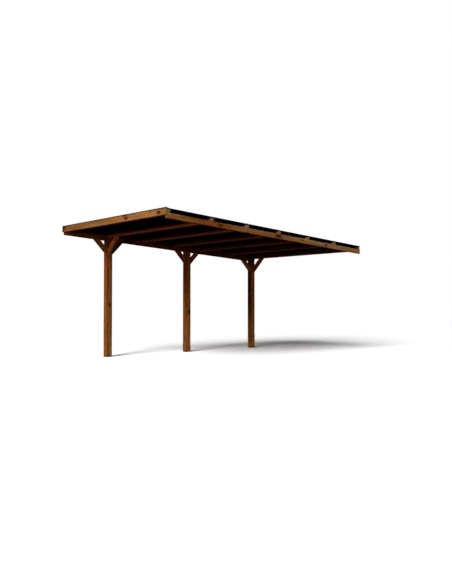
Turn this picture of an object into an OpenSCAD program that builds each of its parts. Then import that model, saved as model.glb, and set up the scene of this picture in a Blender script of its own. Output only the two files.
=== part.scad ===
// Lean-to carport: three posts on one side, a beam for a wall on the other.
// X runs along the carport and down the fall of the roof, -Y points to the wall and Z is up.
// The origin is the centre of the middle post's foot, on the ground.

/* [Posts] */
// Width of the square posts
post_w = 120; // [95:1:140]
// Distance from the centre of one post to the next
post_spacing = 2014; // [1500:1:2600]
// Ground to the underside of the post beam, at the middle post
post_h = 2175; // [1900:5:2600]
// Width of the bevel along the posts' long edges
post_bevel = 3; // [1:0.5:10]

/* [Roof frame] */
// Fall of the roof in each metre of length
roof_fall = 50; // [20:1:100]
// Roof past the centre of the first post, at the high end
high_overhang = 960; // [400:5:1200]
// Centre line of the posts to the wall face of the wall beam
wall_reach = 3070; // [2000:5:3600]
// Height of both beams
beam_h = 88; // [70:1:120]
// Thickness of the wall beam
wall_beam_t = 44; // [35:1:90]
// Thickness of the rafters
rafter_t = 58; // [40:1:80]
// Height of the rafters
rafter_h = 88; // [75:1:140]
// Set-in of the rafters over the end posts, from the posts' outer faces
rafter_set_in = 15; // [0:1:30]
// Depth by which the rafters are let down over the beams
rafter_lap = 36; // [15:1:50]
// Play between a rafter's shoulders and the sides of the beams
shoulder_gap = 0.5; // [0.2:0.1:2]
// Width of the bevel along the planed edges of beams, rafters, braces and boards
edge_bevel = 3; // [1:0.5:6]

/* [Braces] */
// Thickness of the knee braces
brace_t = 58; // [40:1:80]
// Depth of the knee braces, across their length
brace_d = 88; // [50:1:110]
// Reach of the braces under the post beam, from the post's face
beam_brace_reach = 273; // [200:1:400]
// Reach of the braces under the rafters, from the post's face
rafter_brace_reach = 330; // [220:1:450]

/* [Fascia boards] */
// Thickness of the fascia boards
fascia_t = 22; // [15:1:30]
// Height of the fascia boards, from the underside of the rafters
fascia_h = 120; // [110:1:170]

/* [Roof sheets] */
// Thickness of the sheets
sheet_t = 1.2; // [0.8:0.1:2]
// Height of the sheets over their ribs
sheet_h = 18; // [12:1:30]
// Ribs in each sheet's cover width
sheet_ribs = 15; // [8:1:20]
// Width of the flat crest of a rib
rib_crest = 22; // [10:1:26]
// Width of each sloping side of a rib
rib_side = 8; // [4:1:12]
// Sheets past the last rafter, at the low end
sheet_overhang = 20; // [0:1:60]
// Play between the sheets and the fascia boards
sheet_edge_gap = 4; // [1:0.5:10]
// Play between two sheets where they lap
sheet_lap_gap = 0.3; // [0.2:0.1:1]

/* [Hidden] */

rafter_count = 7;
sheet_count = 3;
mm_per_metre = 1000;
brace_angle = 45;

// Fall as a slope and as an angle
slope = roof_fall / mm_per_metre;
pitch = atan(slope);

// Stations along the carport, on the level
post_x = [-post_spacing, 0, post_spacing];
high_end_x = -post_spacing - high_overhang;
low_end_x = post_spacing + post_w / 2;

// The same two ends measured down the fall
high_end = high_end_x / cos(pitch);
low_end = low_end_x / cos(pitch);
frame_start = high_end + fascia_t;

// Heights square to the fall, from the underside of the beams
rafter_bottom = beam_h - rafter_lap;
rafter_top = rafter_bottom + rafter_h;

// Sides of the roof
wall_y = -wall_reach;
post_face = post_w / 2;

// Rafters: one behind the high fascia, the next over the first post, the last over the last post,
// and the rest evenly between
second_rafter = (-post_spacing - post_face + rafter_set_in) / cos(pitch) + rafter_t / 2;
last_rafter = low_end - rafter_set_in / cos(pitch) - rafter_t / 2;
rafter_bay = (last_rafter - second_rafter) / (rafter_count - 2);

// Roof sheets
sheet_start = frame_start + sheet_edge_gap;
sheet_end = low_end + sheet_overhang;
sheet_field = wall_reach + post_face - sheet_edge_gap - rib_crest;
sheet_cover = sheet_field / sheet_count;
rib_pitch = sheet_cover / sheet_ribs;
lap_rise = sheet_t + sheet_lap_gap;

timber = "#7a4a26";
timber_light = "#96622f";
timber_dark = "#5d3619";
sheet_black = "#17171a";

function beam_underside(x) = post_h - x * slope;
function rafter_underside(x) = beam_underside(x) + rafter_bottom / cos(pitch);
function rafter_place(i) = i == 0 ? frame_start + rafter_t / 2 : second_rafter + (i - 1) * rafter_bay;

// Places its children on the fall, from the underside of the beams over the middle post
module on_the_fall() {
    translate([0, 0, post_h])
        rotate([0, pitch, 0])
            children();
}

// Everything above a plane that lies on the fall, for cutting timbers under the roof frame
module above_fall(height) {
    size = 4 * (wall_reach + post_spacing + high_overhang);
    on_the_fall()
        translate([-size / 2, -size / 2, height])
            cube(size);
}

// Extrudes a profile drawn across the carport (Y, Z) along it
module along(from, to) {
    translate([from, 0, 0])
        rotate([90, 0, 90])
            linear_extrude(to - from)
                children();
}

// Extrudes a profile drawn along the carport (X, Z) across it
module across(from, to) {
    translate([0, to, 0])
        rotate([90, 0, 0])
            linear_extrude(to - from)
                children();
}

// Section of a planed timber, from its lower left corner
module planed_section(width, height, bevel) {
    polygon([
        [bevel, 0], [width - bevel, 0], [width, bevel], [width, height - bevel],
        [width - bevel, height], [bevel, height], [0, height - bevel], [0, bevel]
    ]);
}

module post(x) {
    color(timber)
        difference() {
            translate([x - post_face, -post_face, 0])
                linear_extrude(beam_underside(x) + post_w)
                    planed_section(post_w, post_w, post_bevel);
            above_fall(0);
        }
}

module beam(y, thickness) {
    color(timber)
        on_the_fall()
            along(frame_start, low_end)
                translate([y, 0])
                    planed_section(thickness, beam_h, edge_bevel);
}

// Block that takes the half lap out of a rafter's lower side, between two places across the carport
module lap_cut(middle, from, to) {
    translate([middle - rafter_t, from, rafter_bottom - rafter_lap])
        cube([2 * rafter_t, to - from, 2 * rafter_lap]);
}

// Planed rafter with a half lap over the wall beam at one end and the post beam at the other
module rafter(i) {
    wall_shoulder = wall_y + wall_beam_t + shoulder_gap;
    post_shoulder = -post_face - shoulder_gap;
    middle = rafter_place(i);
    color(timber_light)
        on_the_fall()
            difference() {
                across(wall_y, post_face)
                    translate([middle - rafter_t / 2, rafter_bottom])
                        planed_section(rafter_t, rafter_h, edge_bevel);
                lap_cut(middle, wall_y - rafter_t, wall_shoulder);
                lap_cut(middle, post_shoulder, post_face + rafter_t);
            }
}

// Planed bar at 45 degrees with its foot cut to the post's face, out along +X
module brace_bar(foot, reach) {
    length = (reach + brace_d) / cos(brace_angle);
    past_foot = 2 * brace_d;
    block = 2 * (past_foot + brace_t);
    difference() {
        translate([post_face, 0, foot])
            rotate([0, -brace_angle, 0])
                along(-past_foot, length)
                    translate([-brace_t / 2, 0])
                        planed_section(brace_t, brace_d, edge_bevel);
        translate([post_face - block, -block / 2, foot - block / 2])
            cube(block);
    }
}

// Knee brace under the post beam; side is -1 up the fall and 1 down it
module beam_brace(x, side) {
    foot = beam_underside(x + side * (post_face + beam_brace_reach)) - beam_brace_reach;
    color(timber_dark)
        difference() {
            translate([x, 0, 0])
                rotate([0, 0, side < 0 ? 180 : 0])
                    brace_bar(foot, beam_brace_reach);
            above_fall(0);
        }
}

// Knee brace towards the wall, under the rafter over an end post
module rafter_brace(x, side) {
    middle = x + side * (post_face - rafter_set_in - rafter_t / 2);
    foot = rafter_underside(middle) - rafter_brace_reach;
    color(timber_dark)
        difference() {
            translate([middle, 0, 0])
                rotate([0, 0, -90])
                    brace_bar(foot, rafter_brace_reach);
            above_fall(rafter_bottom);
        }
}

module high_fascia() {
    color(timber_light)
        on_the_fall()
            across(wall_y, post_face)
                translate([high_end, rafter_bottom])
                    planed_section(fascia_t, fascia_h, edge_bevel);
}

module front_fascia() {
    color(timber_light)
        on_the_fall()
            along(high_end, low_end)
                translate([post_face, rafter_bottom])
                    planed_section(fascia_t, fascia_h, edge_bevel);
}

// Line of one rib: crest, side, valley and the next side
function rib_line(start, rise) = [
    [start, rise],
    [start + rib_crest, rise],
    [start + rib_crest + rib_side, 0],
    [start + rib_pitch - rib_side, 0]
];

// First rib of a sheet that lies over the last rib of the sheet before
function lap_line(start, rise) = [
    [start - rib_side, lap_rise],
    [start, rise + lap_rise],
    [start + rib_crest, rise + lap_rise],
    [start + rib_crest + rib_side, lap_rise],
    [start + rib_crest + 2 * rib_side, 0],
    [start + rib_pitch - rib_side, 0]
];

// Under line of a whole sheet, from the wall side across
function sheet_line(i, start, rise) = [
    for (rib = [0 : sheet_ribs - 1])
        each (i > 0 && rib == 0 ? lap_line(start, rise) : rib_line(start + rib * rib_pitch, rise)),
    [start + sheet_cover, rise],
    [start + sheet_cover + rib_crest, rise],
    if (i < sheet_count - 1) [start + sheet_cover + rib_crest + rib_side, 0]
];

module roof_sheet(i) {
    under = sheet_line(i, wall_y + i * sheet_cover, sheet_h - sheet_t);
    over = [for (k = [len(under) - 1 : -1 : 0]) under[k] + [0, sheet_t]];
    color(sheet_black)
        on_the_fall()
            along(sheet_start, sheet_end)
                translate([0, rafter_top])
                    polygon(concat(under, over));
}

post(post_x[0]);  // high_post
post(post_x[1]);  // middle_post
post(post_x[2]);  // low_post
beam(-post_face, post_w);  // post_beam
beam(wall_y, wall_beam_t);  // wall_beam
for (i = [0 : rafter_count - 1])
    rafter(i);
beam_brace(post_x[0], -1);  // high_post_brace_left
beam_brace(post_x[0], 1);  // high_post_brace_right
rafter_brace(post_x[0], -1);  // high_post_brace_inner
beam_brace(post_x[1], -1);  // middle_post_brace_left
beam_brace(post_x[1], 1);  // middle_post_brace_right
beam_brace(post_x[2], -1);  // low_post_brace_left
rafter_brace(post_x[2], 1);  // low_post_brace_inner
high_fascia();
front_fascia();
for (i = [0 : sheet_count - 1])
    roof_sheet(i);
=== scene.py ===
import math
import bmesh
import bpy
from mathutils import Euler, Matrix, Vector


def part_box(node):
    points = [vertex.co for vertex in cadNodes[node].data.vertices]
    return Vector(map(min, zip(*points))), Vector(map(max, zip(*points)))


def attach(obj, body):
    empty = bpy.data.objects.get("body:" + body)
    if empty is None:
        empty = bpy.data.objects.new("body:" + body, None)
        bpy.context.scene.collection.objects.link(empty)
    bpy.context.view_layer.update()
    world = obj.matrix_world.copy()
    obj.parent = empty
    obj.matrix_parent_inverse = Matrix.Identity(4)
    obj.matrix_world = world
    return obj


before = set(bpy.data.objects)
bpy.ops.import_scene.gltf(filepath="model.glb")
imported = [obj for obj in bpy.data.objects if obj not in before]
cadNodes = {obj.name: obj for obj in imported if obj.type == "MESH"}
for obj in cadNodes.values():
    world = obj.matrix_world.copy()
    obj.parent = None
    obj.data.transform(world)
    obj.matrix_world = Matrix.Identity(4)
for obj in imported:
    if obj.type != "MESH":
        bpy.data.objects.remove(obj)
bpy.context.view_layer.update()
print("frame loaded,", len(cadNodes), "timbers and sheets")


# places and directions read from the frame
def middleOf(name):
    low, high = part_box(name)
    return (low + high) / 2


rafterNames = ["rafter_%d" % (i + 1) for i in range(7)]
sheetNames = ["roof_sheet_%d" % (i + 1) for i in range(3)]
braceNames = [name for name in cadNodes if "_brace_" in name]
highRafter, lowRafter = middleOf("rafter_2"), middleOf("rafter_7")
fallAngle = math.atan2(highRafter.z - lowRafter.z, lowRafter.x - highRafter.x)
downFall = Vector((math.cos(fallAngle), 0, -math.sin(fallAngle)))
overFall = Vector((math.sin(fallAngle), 0, math.cos(fallAngle)))  # square to the roof
upward = Vector((0, 0, 1))
alongX = Vector((1, 0, 0))
alongY = Vector((0, 1, 0))


# small helpers for shader trees
def feed(tree, socket, value):
    # a link from another node, or a plain value
    if isinstance(value, bpy.types.NodeSocket):
        tree.links.new(value, socket)
    else:
        socket.default_value = value


def addNode(tree, kind, sockets=None, **settings):
    made = tree.nodes.new("ShaderNode" + kind)
    for key, value in settings.items():
        setattr(made, key, value)
    for socket, value in (sockets or {}).items():
        feed(tree, made.inputs[socket], value)
    return made


def calc(tree, operation, a, b=0.0):
    return addNode(tree, "Math", {0: a, 1: b}, operation=operation).outputs[0]


def vectorCalc(tree, operation, a, b=(0, 0, 0), output=0):
    return addNode(tree, "VectorMath", {0: a, 1: b}, operation=operation).outputs[output]


def vectorLength(tree, a):
    return vectorCalc(tree, "LENGTH", a, output="Value")


def axisOf(tree, vector, axis):
    return addNode(tree, "SeparateXYZ", {0: vector}).outputs[axis]


def spread(tree, value, fromLow, fromHigh, low, high, smooth=False):
    kind = "SMOOTHSTEP" if smooth else "LINEAR"
    sockets = {0: value, 1: fromLow, 2: fromHigh, 3: low, 4: high}
    return addNode(tree, "MapRange", sockets, interpolation_type=kind, clamp=True).outputs[0]


def noise(tree, vector, scale=1.0, detail=2.0, output=0):
    sockets = {"Vector": vector, "Scale": scale, "Detail": detail}
    return addNode(tree, "TexNoise", sockets).outputs[output]


def drawnNoise(tree, vector, scales, detail=2.0, output=0):
    # noise with its own scale in each direction
    return noise(tree, vectorCalc(tree, "MULTIPLY", vector, scales), detail=detail, output=output)


def raggedBy(tree, value, reach, low=0.2, high=0.8):
    # a noise value as an offset of up to this reach either way
    return spread(tree, value, low, high, -reach, reach)


def mixColour(tree, factor, a, b, blend="MIX"):
    # the node's colour sockets are inputs 6 and 7 and output 2
    return addNode(tree, "Mix", {0: factor, 6: a, 7: b}, data_type="RGBA", blend_type=blend).outputs[2]


def dim(tree, colour, factor):
    return mixColour(tree, 1.0, colour, factor, "MULTIPLY")


def layer(tree, colour, mask, cover, coat):
    # a coat over the colour where the mask is 1, not quite opaque
    return mixColour(tree, calc(tree, "MULTIPLY", mask, cover), colour, coat)


def newMaterial(name):
    material = bpy.data.materials.new(name)
    material.use_nodes = True
    tree = material.node_tree
    return material, tree, tree.nodes["Principled BSDF"]


# brown impregnated softwood: growth rings round a pith line, knots, drying checks and end grain
stain = {
    "early": (0.330, 0.120, 0.027, 1),
    "late": (0.150, 0.042, 0.007, 1),
    "reddish": (1.05, 0.88, 0.62, 1),  # the stain drifts between these two along a piece
    "yellowish": (0.97, 1.15, 1.45, 1),
    "endGrain": (0.200, 0.127, 0.080, 1),
    "endCover": 0.85,
    "endRings": (1.1, 0.62),  # tones of early and late wood on an end
    "endFacing": (0.78, 0.86),  # how squarely a face has to look along the grain
    "pithStep": 2.4,  # turn of the pith from one piece to the next
    "specular": 0.0,
    "bump": 0.55,
    "bumpDepth": 0.0012,
}
# a noise has its scales along the grain and both ways across it
# a tone has two noise values and what they turn into
grainLook = {
    "wander": (0.9, 2.4, 2.4),
    "wanderReach": (0, 0.030, 0.030),
    "fibre": (16, 420, 420),
    "fibreTone": (0.25, 0.75, 0.82, 1.12),
    "fibreRough": (0.2, 0.8, 0.62, 0.82),
    "fibreHeight": 0.35,
    "streak": (1.3, 34, 34),
    "streakTone": (0.28, 0.72, 0.70, 1.22),
    "patch": (2.3, 5, 5),
    "patchTone": (0.30, 0.70, 0.78, 1.16),
    "drift": (1.9, 19, 19),
    "driftTone": (0.36, 0.64, 0, 1),
}
ringLook = {
    "width": 0.0052,
    "uneven": (0.4, 55, 55),
    "unevenReach": 0.9,  # in ring widths
    "darkens": (0.25, 0.88),  # where in a ring the late wood comes on
    "stops": (0.92, 1.0),
    "height": 0.45,
}
knotLook = {
    "bark": (0.020, 0.006, 0.003, 1),  # heart and border of a knot
    "barkCover": 0.8,
    "late": (0.040, 0.010, 0.003, 1),
    "early": (0.085, 0.023, 0.006, 1),
    "rim": (0.120, 0.034, 0.008, 1),
    "rimCover": 0.5,
    "cell": 0.13,  # one branch to each cell of this size
    "radius": 0.012,
    "none": 100.0,  # so far off that no knot shows
    "push": 0.22,  # how soon the grain closes again beyond a knot
    "rings": 4.5,
    "ringSpan": (0.2, 0.9),
    "ragged": 130.0,
    "raggedReach": 0.25,  # this and the next five are in knot radii
    "heart": (0.1, 0.3),
    "border": 0.94,
    "borderWidth": (0.02, 0.16),
    "core": (0.90, 1.02),
    "rimReach": (0.9, 2.3),
    "polish": 0.12,  # a knot is smoother than the wood round it
    "height": 0.5,
}
checkLook = {
    "colour": (0.030, 0.009, 0.003, 1),
    "cover": 0.85,
    "line": (0.55, 26, 26),
    "width": (0.002, 0.007),
    "spots": (1.1, 9, 9),
    "spotSpan": (0.55, 0.63),
    "depth": 2.5,
}


def knotPush(tree, away):
    # how far a knot pushes the grain aside, in its own radii
    square = calc(tree, "MULTIPLY", away, away)
    return calc(tree, "EXPONENT", calc(tree, "MULTIPLY", square, -knotLook["push"]))


def knotParts(tree, place, listed):
    # scattered small knots, and the listed ones that the piece passes in
    cells = addNode(tree, "TexVoronoi", {"Vector": place, "Scale": 1 / knotLook["cell"]})
    small = calc(tree, "MULTIPLY", cells.outputs["Distance"], knotLook["cell"] / knotLook["radius"])
    away = calc(tree, "MINIMUM", small, listed)
    rough = noise(tree, place, knotLook["ragged"])
    away = calc(tree, "ADD", away, raggedBy(tree, rough, knotLook["raggedReach"], 0, 1))
    ring = calc(tree, "FRACT", calc(tree, "MULTIPLY", away, knotLook["rings"]))
    border = calc(tree, "ABSOLUTE", calc(tree, "SUBTRACT", away, knotLook["border"]))
    border = spread(tree, border, *knotLook["borderWidth"], 1, 0)
    heart = spread(tree, away, *knotLook["heart"], 1, 0)
    return {
        "core": spread(tree, away, *knotLook["core"], 1, 0, True),
        "rim": spread(tree, away, *knotLook["rimReach"], 1, 0, True),
        "ring": spread(tree, ring, *knotLook["ringSpan"], 0, 1),
        "bark": calc(tree, "MAXIMUM", border, heart),
        "push": calc(tree, "MULTIPLY", knotPush(tree, small), knotLook["radius"]),
    }


def lateWood(tree, bent, push):
    # the dark part of each ring, with the rings pushed aside round a knot
    across = vectorLength(tree, vectorCalc(tree, "MULTIPLY", bent, (0, 1, 1)))
    radius = calc(tree, "ADD", across, push)
    uneven = raggedBy(tree, drawnNoise(tree, bent, ringLook["uneven"]), ringLook["unevenReach"], 0, 1)
    phase = calc(tree, "ADD", calc(tree, "DIVIDE", radius, ringLook["width"]), uneven)
    ring = calc(tree, "FRACT", phase)
    darkening = spread(tree, ring, *ringLook["darkens"], 0, 1, True)
    return calc(tree, "MULTIPLY", darkening, spread(tree, ring, *ringLook["stops"], 1, 0))


def dryingChecks(tree, place, bent, amount):
    # thin lines along the grain, here and there
    line = calc(tree, "SUBTRACT", drawnNoise(tree, bent, checkLook["line"]), 0.5)
    line = spread(tree, calc(tree, "ABSOLUTE", line), *checkLook["width"], 1, 0)
    spot = spread(tree, drawnNoise(tree, place, checkLook["spots"]), *checkLook["spotSpan"], 0, 1)
    return calc(tree, "MULTIPLY", calc(tree, "MULTIPLY", line, spot), amount)


def makeTimberGroup():
    tree = bpy.data.node_groups.new("timberGrain", "ShaderNodeTree")
    colours = {"Tint": "Color", "EndColor": "Color"}
    amounts = {"Knot": "Float", "Push": "Float", "End": "Float", "Checks": "Float"}
    for name, kind in {"Place": "Vector", **colours, **amounts}.items():
        tree.interface.new_socket(name, in_out="INPUT", socket_type="NodeSocket" + kind)
    for name, kind in (("Color", "Color"), ("Roughness", "Float"), ("Height", "Float")):
        tree.interface.new_socket(name, in_out="OUTPUT", socket_type="NodeSocket" + kind)
    given = tree.nodes.new("NodeGroupInput").outputs
    place = given["Place"]

    # the trunk wanders a little along its length
    wander = drawnNoise(tree, place, grainLook["wander"], output="Color")
    wander = vectorCalc(tree, "SUBTRACT", wander, (0.5, 0.5, 0.5))
    bent = vectorCalc(tree, "ADD", place, vectorCalc(tree, "MULTIPLY", wander, grainLook["wanderReach"]))
    knots = knotParts(tree, place, given["Knot"])
    late = lateWood(tree, bent, calc(tree, "ADD", knots["push"], given["Push"]))
    checks = dryingChecks(tree, place, bent, given["Checks"])
    fibre = drawnNoise(tree, place, grainLook["fibre"], 3.0)
    streak = drawnNoise(tree, bent, grainLook["streak"], 3.0)
    patch = drawnNoise(tree, place, grainLook["patch"])
    drift = drawnNoise(tree, bent, grainLook["drift"])

    colour = mixColour(tree, late, stain["early"], stain["late"])
    colour = dim(tree, colour, spread(tree, streak, *grainLook["streakTone"]))
    colour = dim(tree, colour, spread(tree, patch, *grainLook["patchTone"]))
    colour = dim(tree, colour, spread(tree, fibre, *grainLook["fibreTone"]))
    hue = spread(tree, drift, *grainLook["driftTone"])
    colour = dim(tree, colour, mixColour(tree, hue, stain["reddish"], stain["yellowish"]))
    colour = dim(tree, colour, given["Tint"])
    endColour = dim(tree, given["EndColor"], spread(tree, late, 0, 1, *stain["endRings"]))
    colour = layer(tree, colour, given["End"], stain["endCover"], endColour)
    colour = layer(tree, colour, knots["rim"], knotLook["rimCover"], knotLook["rim"])
    knotColour = mixColour(tree, knots["ring"], knotLook["early"], knotLook["late"])
    colour = mixColour(tree, knots["core"], colour, knotColour)
    colour = layer(tree, colour, knots["bark"], knotLook["barkCover"], knotLook["bark"])
    colour = layer(tree, colour, checks, checkLook["cover"], checkLook["colour"])

    rough = spread(tree, fibre, *grainLook["fibreRough"])
    rough = calc(tree, "SUBTRACT", rough, calc(tree, "MULTIPLY", knots["core"], knotLook["polish"]))
    height = calc(tree, "MULTIPLY", late, ringLook["height"])
    height = calc(tree, "ADD", height, calc(tree, "MULTIPLY", fibre, grainLook["fibreHeight"]))
    height = calc(tree, "ADD", height, calc(tree, "MULTIPLY", knots["core"], knotLook["height"]))
    height = calc(tree, "SUBTRACT", height, calc(tree, "MULTIPLY", checks, checkLook["depth"]))

    outlet = tree.nodes.new("NodeGroupOutput")
    for name, socket in (("Color", colour), ("Roughness", rough), ("Height", height)):
        tree.links.new(socket, outlet.inputs[name])
    return tree


timberGroup = makeTimberGroup()


def sectionTurn(grain, over):
    # a turn that lays X along the grain and Z square to one side of the section
    x = grain.normalized()
    z = (over - x * over.dot(x)).normalized()
    return Matrix((x, z.cross(x), z)).transposed()


def listedKnots(tree, place, look, toLocal, pith):
    # distance to the nearest listed knot, in its own radii, and how far they push the grain
    knot, push = knotLook["none"], 0.0
    for spot, size in look.get("knots", ()):
        offset = vectorCalc(tree, "SUBTRACT", place, tuple(toLocal @ (Vector(spot) - pith)))
        offset = vectorCalc(tree, "MULTIPLY", offset, (look["knotLong"] / size, 1 / size, 1 / size))
        away = vectorLength(tree, offset)
        knot = calc(tree, "MINIMUM", away, knot)
        push = calc(tree, "ADD", calc(tree, "MULTIPLY", knotPush(tree, away), size), push)
    return knot, push


def tintAlong(tree, along, tints):
    # the stain drifts from one tint to the next along the piece
    start, tinted = tints[0]
    for end, tint in tints[1:]:
        tinted = mixColour(tree, spread(tree, along, start, end, 0, 1), tinted, tint)
        start = end
    return tinted


# painted shade: each side of a timber is darker along its long edges
edgeLook = {"width": 0.014, "tone": 0.58, "ragged": (9, 60, 60), "raggedReach": 0.005}


def edgeShade(tree, place, low, high):
    # 1 in the middle of a side, darker within a ragged strip along each long edge, as painted shade
    depth = []
    for axis in (1, 2):
        offset = calc(tree, "SUBTRACT", axisOf(tree, place, axis), (low[axis] + high[axis]) / 2)
        depth.append(calc(tree, "SUBTRACT", (high[axis] - low[axis]) / 2, calc(tree, "ABSOLUTE", offset)))
    away = calc(tree, "MAXIMUM", depth[0], depth[1])
    rough = drawnNoise(tree, place, edgeLook["ragged"], 3.0)
    away = calc(tree, "ADD", away, raggedBy(tree, rough, edgeLook["raggedReach"], 0.25, 0.75))
    return spread(tree, away, 0, edgeLook["width"], edgeLook["tone"], 1, True)


# a darker strip under a board's upper edge, and darker towards a post's foot
darkStripLook = {
    "colour": (0.028, 0.014, 0.008, 1),
    "cover": 0.85,
    "dense": 0.35,  # share of the strip that is dark all over
    "topRagged": (25, 25, 25),
    "topRaggedReach": 0.008,
    "footRagged": 38.0,
    "footRaggedReach": 0.012,
}


def belowTop(tree, place, top):
    return calc(tree, "SUBTRACT", top, axisOf(tree, place, "Z"))


def topAndFootStrips(tree, colour, look, coords, place, top):
    if "topHighlight" in look:  # painted highlight: a paler strip under the upper edge, where the arris catches the light
        depth, tint = look["topHighlight"]
        highlightMask = spread(tree, belowTop(tree, place, top), 0, depth, 1, 0, True)
        colour = mixColour(tree, highlightMask, colour, dim(tree, colour, tint))
    # a darker ragged strip under the upper edge
    if "topDark" in look:
        rough = drawnNoise(tree, place, darkStripLook["topRagged"], 4.0)
        rough = raggedBy(tree, rough, darkStripLook["topRaggedReach"])
        down = calc(tree, "ADD", belowTop(tree, place, top), rough)
        dense = look["topDark"] * darkStripLook["dense"]
        darkness = spread(tree, down, dense, look["topDark"], darkStripLook["cover"], 0, True)
        colour = mixColour(tree, darkness, colour, darkStripLook["colour"])
    # darker towards the foot
    if "footStain" in look:
        rough = noise(tree, coords, darkStripLook["footRagged"], 3.0)
        rough = raggedBy(tree, rough, darkStripLook["footRaggedReach"])
        height = calc(tree, "ADD", axisOf(tree, coords, "Z"), rough)
        footDarkness = spread(tree, height, 0.0, look["footStain"], darkStripLook["cover"], 0, True)
        colour = mixColour(tree, footDarkness, colour, darkStripLook["colour"])
    return colour


def timberMaterial(name, look, index):
    material, tree, shader = newMaterial(name + "_timber")
    section = sectionTurn(look["grain"], look["over"])
    toLocal = section.transposed()

    # the pith lies beside the middle of the piece, each time at another angle
    angle = stain["pithStep"] * index
    pith = middleOf(name) + section @ Vector((0, math.cos(angle), math.sin(angle))) * look["pithAway"]
    corners = [toLocal @ (vert.co - pith) for vert in cadNodes[name].data.vertices]
    low = [min(corner[axis] for corner in corners) for axis in range(3)]
    high = [max(corner[axis] for corner in corners) for axis in range(3)]

    coords = addNode(tree, "TexCoord").outputs["Object"]
    toGrain = {"Vector": coords, "Location": pith, "Rotation": section.to_euler()}
    place = addNode(tree, "Mapping", toGrain, vector_type="TEXTURE").outputs[0]
    along = spread(tree, axisOf(tree, place, "X"), low[0], high[0], 0, 1)
    normal = addNode(tree, "NewGeometry").outputs["Normal"]
    facing = vectorCalc(tree, "DOT_PRODUCT", normal, tuple(look["grain"].normalized()), "Value")
    endFace = spread(tree, calc(tree, "ABSOLUTE", facing), *stain["endFacing"], 0, 1)
    knot, push = listedKnots(tree, place, look, toLocal, pith)
    inputs = {
        "Place": place,
        "Tint": tintAlong(tree, along, look["tints"]),
        "EndColor": look.get("endGrain", stain["endGrain"]),
        "Knot": knot,
        "Push": push,
        "End": endFace,
        "Checks": look["checks"],
    }
    grain = addNode(tree, "Group", inputs, node_tree=timberGroup).outputs

    colour = dim(tree, grain["Color"], edgeShade(tree, place, low, high))
    if "endSoak" in look:  # darker towards the ends
        first, last, tone = look["endSoak"]
        length = high[0] - low[0]
        near = spread(tree, along, 0, first / length, tone, 1, True)
        far = spread(tree, along, 1 - last / length, 1, 1, tone, True)
        endDarkness = calc(tree, "MULTIPLY", near, far)
        colour = dim(tree, colour, calc(tree, "MAXIMUM", endDarkness, endFace))
    colour = topAndFootStrips(tree, colour, look, coords, place, high[2])
    tree.links.new(colour, shader.inputs["Base Color"])
    tree.links.new(grain["Roughness"], shader.inputs["Roughness"])
    relief = {"Height": grain["Height"], "Strength": stain["bump"], "Distance": stain["bumpDepth"]}
    tree.links.new(addNode(tree, "Bump", relief).outputs[0], shader.inputs["Normal"])
    shader.inputs["Specular IOR Level"].default_value = stain["specular"]
    return material


def dress(name, material):
    mesh = cadNodes[name].data
    mesh.materials.clear()
    mesh.materials.append(material)


# posts
postLook = {
    "grain": upward, "over": alongX, "pithAway": 0.035, "checks": 1.0,
    "footStain": 0.045, "knotLong": 0.45,
    # painted shade: the tint turns redder towards the top, as under the roof's shade
    "tints": [(0, (0.95, 1.00, 1.05, 1)), (1, (1.00, 0.82, 0.72, 1))],
}
postKnots = {
    "high_post": [((-2.010, -0.060, 1.02), 0.018)],
    "middle_post": [((0.018, -0.060, 0.87), 0.026), ((-0.060, 0.010, 0.30), 0.014)],
    "low_post": [((2.000, -0.060, 1.42), 0.014)],
}
# beams
beamLook = {"grain": downFall, "over": overFall, "pithAway": 0.070, "checks": 0.5, "knotLong": 0.42}
wallBeamKnots = [
    ((-2.62, -3.07, 2.362), 0.008),
    ((-1.84, -3.07, 2.308), 0.020),
    ((-0.43, -3.07, 2.242), 0.032),
    ((0.24, -3.07, 2.217), 0.012),
    ((0.945, -3.07, 2.176), 0.016),
]
# rafters, braces and boards
rafterLook = {
    "grain": alongY, "over": overFall, "pithAway": 0.060, "checks": 0.3,
    "endSoak": (0.14, 0.14, 0.85),
    # painted highlight: paler near the wall end, as where light reaches the rafters' sides
    "tints": [(0.03, (1.10, 1.36, 2.60, 1)), (0.08, (1.02, 0.84, 1.70, 1))],
}
braceLook = {"over": upward, "pithAway": 0.050, "checks": 0.3, "tints": [(0, (1.22, 0.92, 0.75, 1))]}
boardLook = {"over": overFall, "pithAway": 0.075, "checks": 0.3, "topDark": 0.026, "knotLong": 0.55}
highFasciaKnots = [
    ((-2.969, 0.015, 2.450), 0.027),
    ((-2.969, -2.004, 2.428), 0.025),
    ((-2.969, -1.950, 2.480), 0.021),
    ((-2.969, -2.881, 2.425), 0.024),
]


def outwardOf(name):
    if name.endswith("left"):
        return -alongX
    return alongX if name.endswith("right") else -alongY


timberLooks = {name: dict(postLook, knots=knots) for name, knots in postKnots.items()}
# painted shade: the high post darker and redder towards the top, the low post redder towards the top
timberLooks["high_post"]["tints"] = [(0, (0.84, 0.94, 1.04, 1)), (1, (0.72, 0.58, 0.50, 1))]
timberLooks["low_post"]["tints"] = [(0, (1.05, 1.06, 1.02, 1)), (1, (1.20, 0.90, 0.72, 1))]
# painted shade: the post beam and its end grain are dark all over, as in the roof's shade
timberLooks["post_beam"] = dict(
    beamLook, tints=[(0, (0.55, 0.30, 0.40, 1))], endGrain=(0.045, 0.016, 0.006, 1)
)
wallBeamTints = [
    (0.05, (1.20, 1.38, 1.60, 1)),
    (0.10, (0.93, 0.80, 0.62, 1)),
    (0.23, (0.82, 0.60, 0.44, 1)),
    (0.33, (1.06, 1.20, 1.55, 1)),
    (0.75, (1.24, 1.50, 2.25, 1)),
    (0.94, (1.16, 1.30, 1.80, 1)),
    (1.00, (1.12, 1.00, 1.15, 1)),
]
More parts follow.
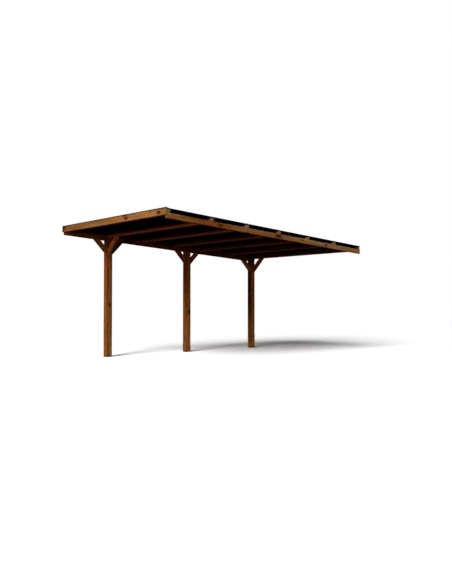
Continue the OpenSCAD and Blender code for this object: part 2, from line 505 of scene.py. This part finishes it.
# its end grain is darker, partly as painted shade from the fascia above; the paler strip under its top
# edge is a painted highlight
timberLooks["wall_beam"] = dict(
    beamLook, knots=wallBeamKnots, tints=wallBeamTints, endGrain=(0.125, 0.080, 0.045, 1),
    topHighlight=(0.035, (0.90, 1.55, 2.50, 1)),
)
for name in rafterNames:
    timberLooks[name] = rafterLook
# the last rafter has no painted highlight and is darker near its wall end
lastRafterTints = [(0.03, (0.48, 0.38, 0.45, 1)), (0.08, (1.02, 0.84, 1.70, 1))]
timberLooks[rafterNames[-1]] = dict(rafterLook, tints=lastRafterTints)
for name in braceNames:
    timberLooks[name] = dict(braceLook, grain=outwardOf(name) + upward)
# painted shade: the high post's right brace is darker, as in the post's shade
timberLooks["high_post_brace_right"]["tints"] = [(0, (0.38, 0.22, 0.24, 1))]
# painted light: its inner brace is paler, as lit from the side under the fascia
timberLooks["high_post_brace_inner"]["tints"] = [(0, (1.24, 1.20, 1.60, 1))]
highFasciaTints = [
    (0.55, (0.89, 1.25, 1.90, 1)),
    (0.72, (0.77, 1.05, 1.52, 1)),
    (0.88, (0.69, 0.84, 1.06, 1)),
]
timberLooks["high_fascia"] = dict(
    boardLook, grain=alongY, knots=highFasciaKnots, tints=highFasciaTints,
    endSoak=(0.018, 0.034, 0.25), endGrain=(0.260, 0.125, 0.038, 1),
)
timberLooks["front_fascia"] = dict(
    boardLook, grain=downFall, tints=[(0, (1.05, 1.20, 1.35, 1))], endGrain=(0.022, 0.010, 0.005, 1)
)
for index, name in enumerate(sorted(timberLooks)):
    dress(name, timberMaterial(name, timberLooks[name], index))
print("timber grain on", len(timberLooks), "pieces")


# black coated roof sheets with dust washed down the fall, and an underside darker as painted shade
sheetLook = {
    "under": (0.0030, 0.0030, 0.0036, 1),
    "top": (0.026, 0.026, 0.029, 1),  # the sky side is lighter; the far darker underside is painted shade
    "dust": (0.085, 0.080, 0.074, 1),
    "specular": 0.0,
    "roughness": (0.72, 0.90),  # clean and dusty
    "skyward": (0.1, 0.9),
    "runs": (1.2, 60, 60),
    "runTone": (0.42, 0.75, 0, 1),
    "clouds": 2.6,
    "cloudTone": (0.40, 0.70, 0.2, 0.9),
    "specks": 420.0,
    "bump": 0.25,
    "bumpDepth": 0.0004,
}


def sheetMaterial():
    material, tree, shader = newMaterial("sheet_coat")
    coords = addNode(tree, "TexCoord").outputs["Object"]
    toFall = {"Vector": coords, "Rotation": Euler((0, fallAngle, 0))}
    place = addNode(tree, "Mapping", toFall, vector_type="TEXTURE").outputs[0]
    runs = spread(tree, drawnNoise(tree, place, sheetLook["runs"], 4.0), *sheetLook["runTone"])
    clouds = spread(tree, noise(tree, place, sheetLook["clouds"], 4.0), *sheetLook["cloudTone"])
    dust = calc(tree, "MULTIPLY", runs, clouds)
    normal = addNode(tree, "NewGeometry").outputs["Normal"]
    facing = vectorCalc(tree, "DOT_PRODUCT", normal, tuple(overFall), "Value")
    skyward = spread(tree, facing, *sheetLook["skyward"], 0, 1)
    colour = mixColour(tree, dust, sheetLook["top"], sheetLook["dust"])
    # painted shade: the underside takes the darker colour
    colour = mixColour(tree, skyward, sheetLook["under"], colour)
    tree.links.new(colour, shader.inputs["Base Color"])
    tree.links.new(spread(tree, dust, 0, 1, *sheetLook["roughness"]), shader.inputs["Roughness"])
    specks = noise(tree, place, sheetLook["specks"])
    relief = {"Height": specks, "Strength": sheetLook["bump"], "Distance": sheetLook["bumpDepth"]}
    tree.links.new(addNode(tree, "Bump", relief).outputs[0], shader.inputs["Normal"])
    shader.inputs["Specular IOR Level"].default_value = sheetLook["specular"]
    return material


sheetCoat = sheetMaterial()
for name in sheetNames:
    dress(name, sheetCoat)
print("coat on", len(sheetNames), "roof sheets")


# screws: black coated ones in the roof, yellow zinc ones in the timber
screwWear = {"scale": 900.0, "rubbed": (0.45, 0.7, 0, 1), "roughness": (0.3, 0.7, 0.30, 0.55)}
blackCoat = {"colour": (0.010, 0.010, 0.011, 1), "rubbed": (0.035, 0.034, 0.033, 1), "metallic": 0.0}
yellowZinc = {"colour": (0.28, 0.20, 0.09, 1), "rubbed": (0.16, 0.11, 0.05, 1), "metallic": 1.0}


def screwMaterial(name, look):
    material, tree, shader = newMaterial(name)
    coords = addNode(tree, "TexCoord").outputs["Object"]
    wear = noise(tree, coords, screwWear["scale"], 3.0)
    rubbed = spread(tree, wear, *screwWear["rubbed"])
    colour = mixColour(tree, rubbed, look["colour"], look["rubbed"])
    tree.links.new(colour, shader.inputs["Base Color"])
    tree.links.new(spread(tree, wear, *screwWear["roughness"]), shader.inputs["Roughness"])
    shader.inputs["Metallic"].default_value = look["metallic"]
    return material


def hexHead(look):
    # sealing washer, flange and six-sided head, standing on z = 0
    mesh = bmesh.new()
    height = 0.0
    for part in look["layers"]:
        made = bmesh.ops.create_cone(
            mesh, cap_ends=True, segments=part["sides"],
            radius1=part["low"], radius2=part["high"], depth=part["tall"],
        )
        bmesh.ops.translate(mesh, verts=made["verts"], vec=(0, 0, height + part["tall"] / 2))
        height += part["tall"]
    return mesh


def flatHead(look):
    # low head, a little narrower at the top, with a recess for the driver
    mesh = bmesh.new()
    made = bmesh.ops.create_cone(
        mesh, cap_ends=True, segments=look["sides"],
        radius1=look["radius"], radius2=look["radius"] * look["crown"], depth=look["tall"],
    )
    bmesh.ops.translate(mesh, verts=made["verts"], vec=(0, 0, look["tall"] / 2))
    top = [face for face in mesh.faces if face.normal.z > 0.9]
    bmesh.ops.inset_individual(mesh, faces=top, thickness=look["radius"] * look["rim"])
    bmesh.ops.translate(mesh, verts=top[0].verts[:], vec=(0, 0, -look["tall"] * look["recess"]))
    return mesh


def setScrews(name, shape, places, material):
    # one joined mesh of heads, each on its spot and facing out
    mould = bpy.data.meshes.new(name + "_mould")
    shape.to_mesh(mould)
    shape.free()
    mesh = bmesh.new()
    for spot, facing in places:
        before = set(mesh.verts)
        mesh.from_mesh(mould)
        added = [vert for vert in mesh.verts if vert not in before]
        bmesh.ops.rotate(mesh, verts=added, matrix=upward.rotation_difference(facing).to_matrix())
        bmesh.ops.translate(mesh, verts=added, vec=spot)
    data = bpy.data.meshes.new(name)
    mesh.to_mesh(data)
    mesh.free()
    bpy.data.meshes.remove(mould)
    data.materials.append(material)
    piece = bpy.data.objects.new(name, data)
    bpy.context.scene.collection.objects.link(piece)
    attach(piece, "root")
    print(name, len(places), "heads")


def downTo(name):
    # how far down the fall a piece's middle lies
    return middleOf(name).dot(downFall)


def fromFall(down, y, over):
    return downFall * down + overFall * over + alongY * y


roofScrew = {
    "everyRib": 3,
    "crestStep": 0.0022,  # crests this far under the highest one count too, as at a lap
    "sameEdge": 0.0002,
    "layers": [  # washer, flange and head
        {"sides": 12, "low": 0.0078, "high": 0.0070, "tall": 0.0022},
        {"sides": 12, "low": 0.0062, "high": 0.0056, "tall": 0.0012},
        {"sides": 6, "low": 0.0046, "high": 0.0042, "tall": 0.0042},
    ],
}


def ribCrests(name):
    # both edges of each rib's flat crest, from the wall side across
    spots = [(vert.co.dot(overFall), vert.co.y) for vert in cadNodes[name].data.vertices]
    least = max(over for over, y in spots) - roofScrew["crestStep"]
    edges = sorted({round(y, 5) for over, y in spots if over > least})
    return list(zip(edges[0::2], edges[1::2]))


def crestHeight(name, edge):
    corners = [vert.co for vert in cadNodes[name].data.vertices]
    return max(corner.dot(overFall) for corner in corners if abs(corner.y - edge) < roofScrew["sameEdge"])


def roofScrewPlaces():
    places = []
    for name in sheetNames:
        crests = ribCrests(name)
        ribs = crests[0::roofScrew["everyRib"]]
        if name != sheetNames[-1]:  # the next sheet's first rib lies over the last one
            ribs = [rib for rib in ribs if rib != crests[-1]]
        for rafter in rafterNames:
            down = downTo(rafter)
            for rib in ribs:
                middle = (rib[0] + rib[1]) / 2
                places.append((fromFall(down, middle, crestHeight(name, rib[0])), overFall))
    return places


setScrews("roof_screws", hexHead(roofScrew), roofScrewPlaces(), screwMaterial("black_screw", blackCoat))

woodScrew = {"sides": 12, "radius": 0.0048, "tall": 0.0010, "crown": 0.82, "rim": 0.42, "recess": 0.7}
fasciaScrew = {"lowFromEdge": 0.020, "highFromEdge": 0.062, "bays": 6}


def fasciaScrewPlaces():
    places = []
    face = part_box("front_fascia")[1].y
    under = min(vert.co.dot(overFall) for vert in cadNodes["front_fascia"].data.vertices)
    rises = (fasciaScrew["lowFromEdge"], fasciaScrew["highFromEdge"])
    for rafter in rafterNames:  # through the board into each rafter's end
        for rise in rises:
            places.append((fromFall(downTo(rafter), face, under + rise), alongY))
    low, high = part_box("high_fascia")
    front = min(vert.co.dot(downFall) for vert in cadNodes["high_fascia"].data.vertices)
    step = (high.y - low.y) / fasciaScrew["bays"]
    for bay in range(fasciaScrew["bays"]):  # into the side of the first rafter
        middle = low.y + step * (bay + 0.5)
        for rise in rises:
            places.append((fromFall(front, middle, under + rise), -downFall))
    return places


braceScrew = {"fromEnd": 0.050, "apart": 0.026}


def braceScrewPlaces():
    places = []
    for name in braceNames:
        low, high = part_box(name)
        middle = (low + high) / 2
        outward = outwardOf(name)
        sideways = outward.cross(upward)
        run = (outward + upward).normalized()
        facing = (outward - upward).normalized()
        reach = abs((high - low).dot(outward))
        foot = middle - outward * reach / 2
        foot.z = low.z
        length = reach * math.sqrt(2)
        for along in (braceScrew["fromEnd"], length - braceScrew["fromEnd"]):
            for side in (-0.5, 0.5):
                places.append((foot + run * along + sideways * side * braceScrew["apart"], facing))
    return places


zincScrew = screwMaterial("zinc_screw", yellowZinc)
setScrews("fascia_screws", flatHead(woodScrew), fasciaScrewPlaces(), zincScrew)
setScrews("brace_screws", flatHead(woodScrew), braceScrewPlaces(), zincScrew)


# camera at the photo's viewing angle
cameraLook = {
    "place": (-8.842, -10.596, 0.978),
    "turn": 43.407,
    "tilt": 1.350,
    "lens": 38.849,
    "sensor": 36,
    "farthest": 1000,
}
camera = bpy.data.objects.new("camera", bpy.data.cameras.new("camera"))
camera.location = cameraLook["place"]
camera.rotation_euler = (math.radians(90 + cameraLook["tilt"]), 0, math.radians(-cameraLook["turn"]))
camera.data.lens = cameraLook["lens"]
camera.data.sensor_width = cameraLook["sensor"]
camera.data.clip_end = cameraLook["farthest"]
bpy.context.scene.collection.objects.link(camera)
bpy.context.scene.camera = camera

# a low soft key light, three level fills, a lamp for the rafters' sides and a dim even sky
lightLook = {
    "key": {"turn": 25.2, "rise": 25.3, "power": 3.2, "soft": 25.5, "colour": (1, 1, 1)},
    "side": {"turn": 95, "rise": 5, "power": 0.85, "soft": 24, "colour": (1, 1, 1)},
    "row": {"turn": 0, "rise": 7, "power": 0.55, "soft": 3, "colour": (1.0, 0.86, 0.72)},
    "back": {"turn": 222, "rise": 4, "power": 1.10, "soft": 30, "colour": (1, 1, 1)},
    "low": {"place": (-7.1, -2.9, 2.39), "power": 280, "soft": 0.12, "colour": (1.0, 0.74, 0.66)},
    "sky": 0.042,
    "floorWhite": 2.11,
    "floorBounce": (0.070, 0.048, 0.038, 1),
    "floorReach": 60,
    "floorFade": 16,  # from here out the floor melts into the white backdrop
}


def addSun(name, look):
    lamp = bpy.data.lights.new(name, "SUN")
    lamp.energy = look["power"]
    lamp.color = look["colour"]
    lamp.angle = math.radians(look["soft"])
    turn, rise = math.radians(look["turn"]), math.radians(look["rise"])
    travel = Vector((math.cos(rise) * math.cos(turn), math.cos(rise) * math.sin(turn), -math.sin(rise)))
    sun = bpy.data.objects.new(name, lamp)
    sun.rotation_mode = "QUATERNION"
    sun.rotation_quaternion = travel.to_track_quat("-Z", "Y")
    bpy.context.scene.collection.objects.link(sun)
    return sun


def addLamp(name, look):
    lamp = bpy.data.lights.new(name, "POINT")
    lamp.energy = look["power"]
    lamp.color = look["colour"]
    lamp.shadow_soft_size = look["soft"]
    point = bpy.data.objects.new(name, lamp)
    point.location = look["place"]
    point.visible_camera = False
    bpy.context.scene.collection.objects.link(point)
    return point


addSun("key_light", lightLook["key"])
sideLight = addSun("side_light", lightLook["side"])
rowLight = addSun("row_light", lightLook["row"])  # along the row of posts
backLight = addSun("back_light", lightLook["back"])
lowLight = addLamp("low_light", lightLook["low"])  # reaches the rafters' sides under the high fascia


def seenDirectly(tree):
    # 1 for what the camera, a mirror or a pane shows
    path = addNode(tree, "LightPath").outputs
    seen = calc(tree, "MAXIMUM", path["Is Camera Ray"], path["Is Glossy Ray"])
    return calc(tree, "MAXIMUM", seen, path["Is Transmission Ray"])


world = bpy.data.worlds.new("studio")
world.use_nodes = True
bpy.context.scene.world = world
worldTree = world.node_tree
backdrop = worldTree.nodes["Background"]
sky = lightLook["sky"]
backdropColour = mixColour(worldTree, seenDirectly(worldTree), (sky, sky, sky, 1), (1, 1, 1, 1))
worldTree.links.new(backdropColour, backdrop.inputs["Color"])

floorMesh = bmesh.new()
bmesh.ops.create_grid(floorMesh, x_segments=1, y_segments=1, size=lightLook["floorReach"])
floorData = bpy.data.meshes.new("floor")
floorMesh.to_mesh(floorData)
floorMesh.free()
floor = bpy.data.objects.new("floor", floorData)
bpy.context.scene.collection.objects.link(floor)
floorMaterial, floorTree, floorShader = newMaterial("floor_white")
floorWhite = (lightLook["floorWhite"],) * 3 + (1,)
floorColour = mixColour(floorTree, seenDirectly(floorTree), lightLook["floorBounce"], floorWhite)
floorDiffuse = addNode(floorTree, "BsdfDiffuse", {"Color": floorColour})
floorAway = vectorLength(floorTree, addNode(floorTree, "TexCoord").outputs["Object"])
floorGone = spread(floorTree, floorAway, lightLook["floorFade"], lightLook["floorReach"], 0, 1, True)
floorFar = addNode(floorTree, "Emission", {"Color": (1, 1, 1, 1), "Strength": seenDirectly(floorTree)})
floorParts = {0: floorGone, 1: floorDiffuse.outputs[0], 2: floorFar.outputs[0]}
floorBlend = addNode(floorTree, "MixShader", floorParts)
floorTree.links.new(floorBlend.outputs[0], floorTree.nodes["Material Output"].inputs["Surface"])
floorTree.nodes.remove(floorShader)
floorData.materials.append(floorMaterial)


def leaveOut(name, piece, lights):
    # these lights don't reach this piece
    spared = bpy.data.collections.new(name)
    spared.objects.link(piece)
    spared.collection_objects[0].light_linking.link_state = "EXCLUDE"
    for light in lights:
        light.light_linking.receiver_collection = spared


# the level fills leave the floor to the key light's shadow, and the last post stays in the roof's shade
leaveOut("floor_spared", floor, (sideLight, rowLight, backLight))
leaveOut("post_spared", cadNodes["low_post"], (lowLight,))
bpy.context.scene.view_settings.view_transform = "Standard"
print("camera, light and floor set")
